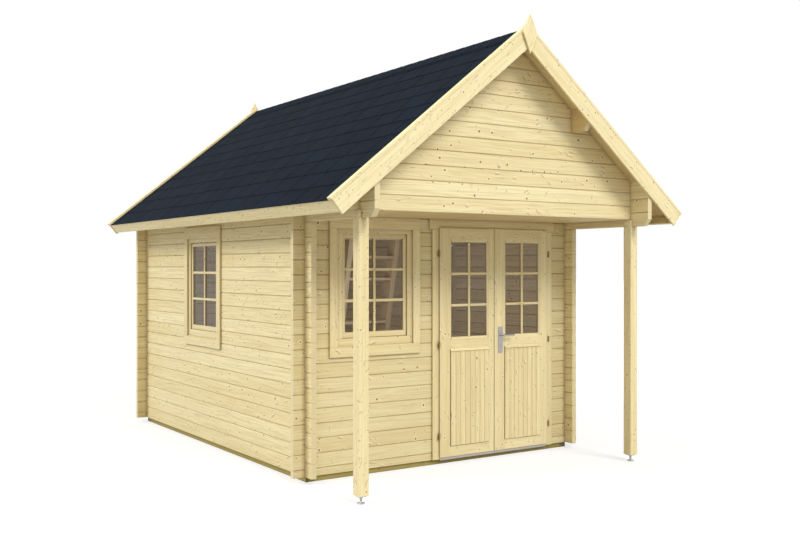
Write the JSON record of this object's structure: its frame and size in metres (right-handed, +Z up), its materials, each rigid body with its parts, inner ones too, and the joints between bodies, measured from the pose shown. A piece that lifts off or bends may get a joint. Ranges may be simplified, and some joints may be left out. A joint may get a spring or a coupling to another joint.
{
  "type": "garden log cabin",
  "caption": "Garden cabin of interlocking planed logs with a gabled porch on posts, a double door, casement windows, a sleeping loft with a ladder and a shingled roof.",
  "frame": {"origin": "on the ground under the middle of the roof", "axes": "+X to the right seen from the porch, +Y from the porch to the back wall, +Z up"},
  "size_m": [3.4308, 4.806, 3.5417],
  "materials": {
    "spruce_logs": "planed spruce logs, oiled lightly",
    "spruce_boards": "planed spruce boards",
    "spruce_joinery": "fine planed spruce of frames, sashes and leaves",
    "spruce_lining": "planed spruce boards inside and under the roof",
    "green_impregnated": "pressure-impregnated sawn pine",
    "bitumen_shingles": "slate-grey mineral granules on bitumen",
    "window_glass": "clear float glass",
    "satin_steel": "satin stainless steel",
    "brown_steel": "dark brown lacquered steel",
    "zinc_plated": "zinc-plated steel",
    "mill_aluminium": "extruded aluminium strip"
  },
  "bodies": {
    "cabin": {"foundation_beams": "green_impregnated", "floor_boards": "spruce_lining", "left_wall": "spruce_logs", "right_wall": "spruce_logs", "back_wall": "spruce_logs", "front_wall_left": "spruce_logs", "front_wall_right": "spruce_logs", "front_wall_over_door": "spruce_logs", "left_plate_logs": "spruce_logs", "right_plate_logs": "spruce_logs", "porch_gable": "spruce_logs", "back_gable": "spruce_logs", "ridge_purlin": "spruce_logs", "side_purlins": "spruce_logs", "left_roof_boards": "spruce_lining", "right_roof_boards": "spruce_lining", "left_shingles": "bitumen_shingles", "right_shingles": "bitumen_shingles", "eave_fascias": "spruce_boards", "bargeboards": "spruce_boards", "cap_laths": "spruce_boards", "finials": "spruce_boards", "porch_posts": "spruce_boards", "post_feet": "zinc_plated", "loft_floor": "spruce_lining", "loft_beam": "spruce_boards", "ladder_rails": "spruce_boards", "ladder_treads": "spruce_boards", "window_trims": "spruce_boards", "window_frames": "spruce_joinery", "window_sashes": "spruce_joinery", "window_panes": "window_glass", "door_frame": "spruce_joinery", "door_trim": "spruce_boards", "threshold": "mill_aluminium", "frame_hinges": "brown_steel"},
    "left_door": {"left_door": "spruce_joinery", "left_door_panes": "window_glass", "left_door_hinges": "brown_steel"},
    "right_door": {"right_door": "spruce_joinery", "right_door_panes": "window_glass", "right_door_hinges": "brown_steel", "handle_plates": "satin_steel"},
    "lever": {"lever_handle": "satin_steel"}
  },
  "joints": [
    {"name": "left_door_hinge", "type": "hinge", "parent": "cabin", "child": "left_door", "pos_m": [-0.123, -1.41, 1], "axis": [0, 0, -1], "range_deg": [0, 110]},
    {"name": "right_door_hinge", "type": "hinge", "parent": "cabin", "child": "right_door", "pos_m": [1.087, -1.41, 1], "axis": [0, 0, 1], "range_deg": [0, 110]},
    {"name": "lever_turn", "type": "hinge", "parent": "right_door", "child": "lever", "pos_m": [0.526, -1.41, 1.055], "axis": [0, 1, 0], "range_deg": [0, 40], "stiffness_Nm_per_rad": 1.2, "springref_deg": -28.65}
  ]
}
